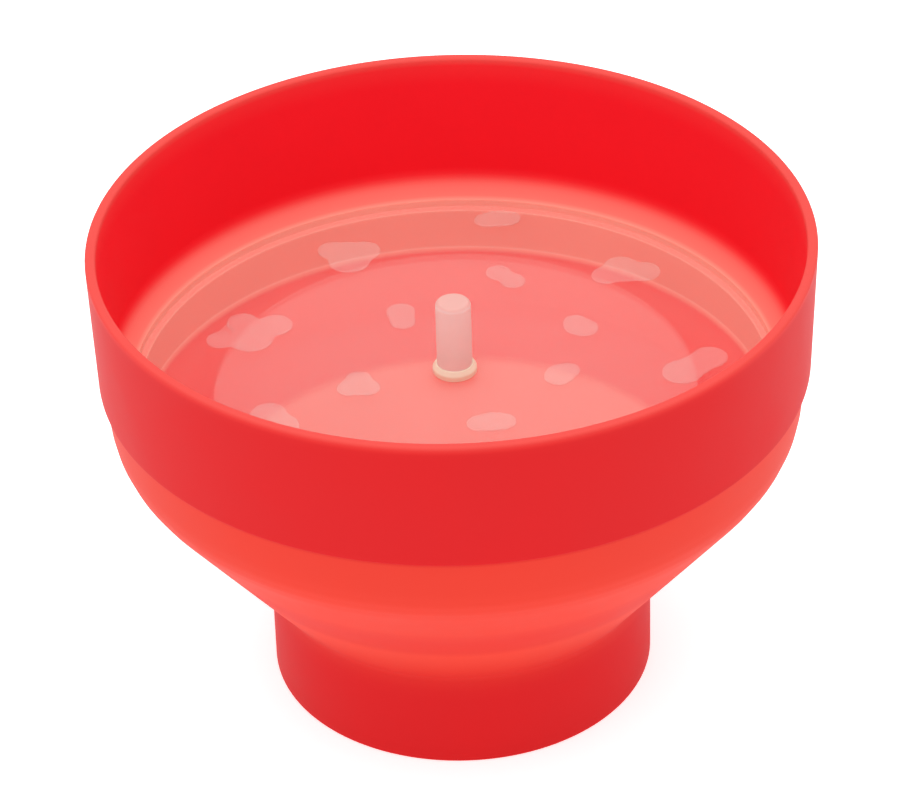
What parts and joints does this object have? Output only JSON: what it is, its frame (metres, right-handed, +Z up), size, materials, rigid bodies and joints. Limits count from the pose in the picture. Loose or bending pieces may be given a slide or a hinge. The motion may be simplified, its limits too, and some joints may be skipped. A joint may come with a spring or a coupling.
{
  "type": "collapsible popcorn maker",
  "caption": "Round collapsible silicone microwave bowl with a tall rim, sloping folds, a narrow base and a clear drop-in lid with an upright peg.",
  "frame": {"origin": "middle of the underside of the base, on the surface that the bowl stands on", "axes": "+Z up along the bowl's axis through the peg, +Y away from the viewer, +X to the viewer's right"},
  "size_m": [0.2, 0.2, 0.14],
  "materials": {
    "deep_silicone": "satin red silicone, thick wall",
    "fold_silicone": "satin red silicone, thin wall that glows a little orange",
    "clear_plastic": "clear, polished",
    "frosted_plastic": "frosted, milky"
  },
  "bodies": {
    "base": {"base_cup": "deep_silicone", "lower_fold": "fold_silicone"},
    "middle": {"fold_ring": "fold_silicone", "upper_fold": "fold_silicone"},
    "bowl_top": {"seat_band": "fold_silicone", "rim_band": "deep_silicone"},
    "lid": {"lid_plate": "clear_plastic", "lid_peg": "frosted_plastic", "peg_collar": "frosted_plastic", "pop_01": "frosted_plastic", "pop_02": "frosted_plastic", "pop_03": "frosted_plastic", "pop_04": "frosted_plastic", "pop_05": "frosted_plastic", "pop_06": "frosted_plastic", "pop_07": "frosted_plastic", "pop_08": "frosted_plastic", "pop_09": "frosted_plastic", "pop_10": "frosted_plastic", "pop_11": "frosted_plastic", "pop_12": "frosted_plastic", "pop_13": "frosted_plastic", "pop_14": "frosted_plastic", "pop_15": "frosted_plastic", "pop_16": "frosted_plastic"}
  },
  "joints": [
    {"name": "fold_lower", "type": "slide", "parent": "base", "child": "middle", "axis": [0, 0, -1], "range_m": [0, 0.06], "deforming": ["lower_fold"]},
    {"name": "fold_upper", "type": "slide", "parent": "middle", "child": "bowl_top", "axis": [0, 0, -1], "range_m": [0, 0.021], "deforming": ["upper_fold"]},
    {"name": "lid_lift", "type": "slide", "parent": "middle", "child": "lid", "axis": [0, 0, 1], "range_m": [0, 0.07]}
  ],
  "couplings": [
    {"joint": "fold_upper", "follows": "fold_lower", "ratio": 0.35}
  ]
}
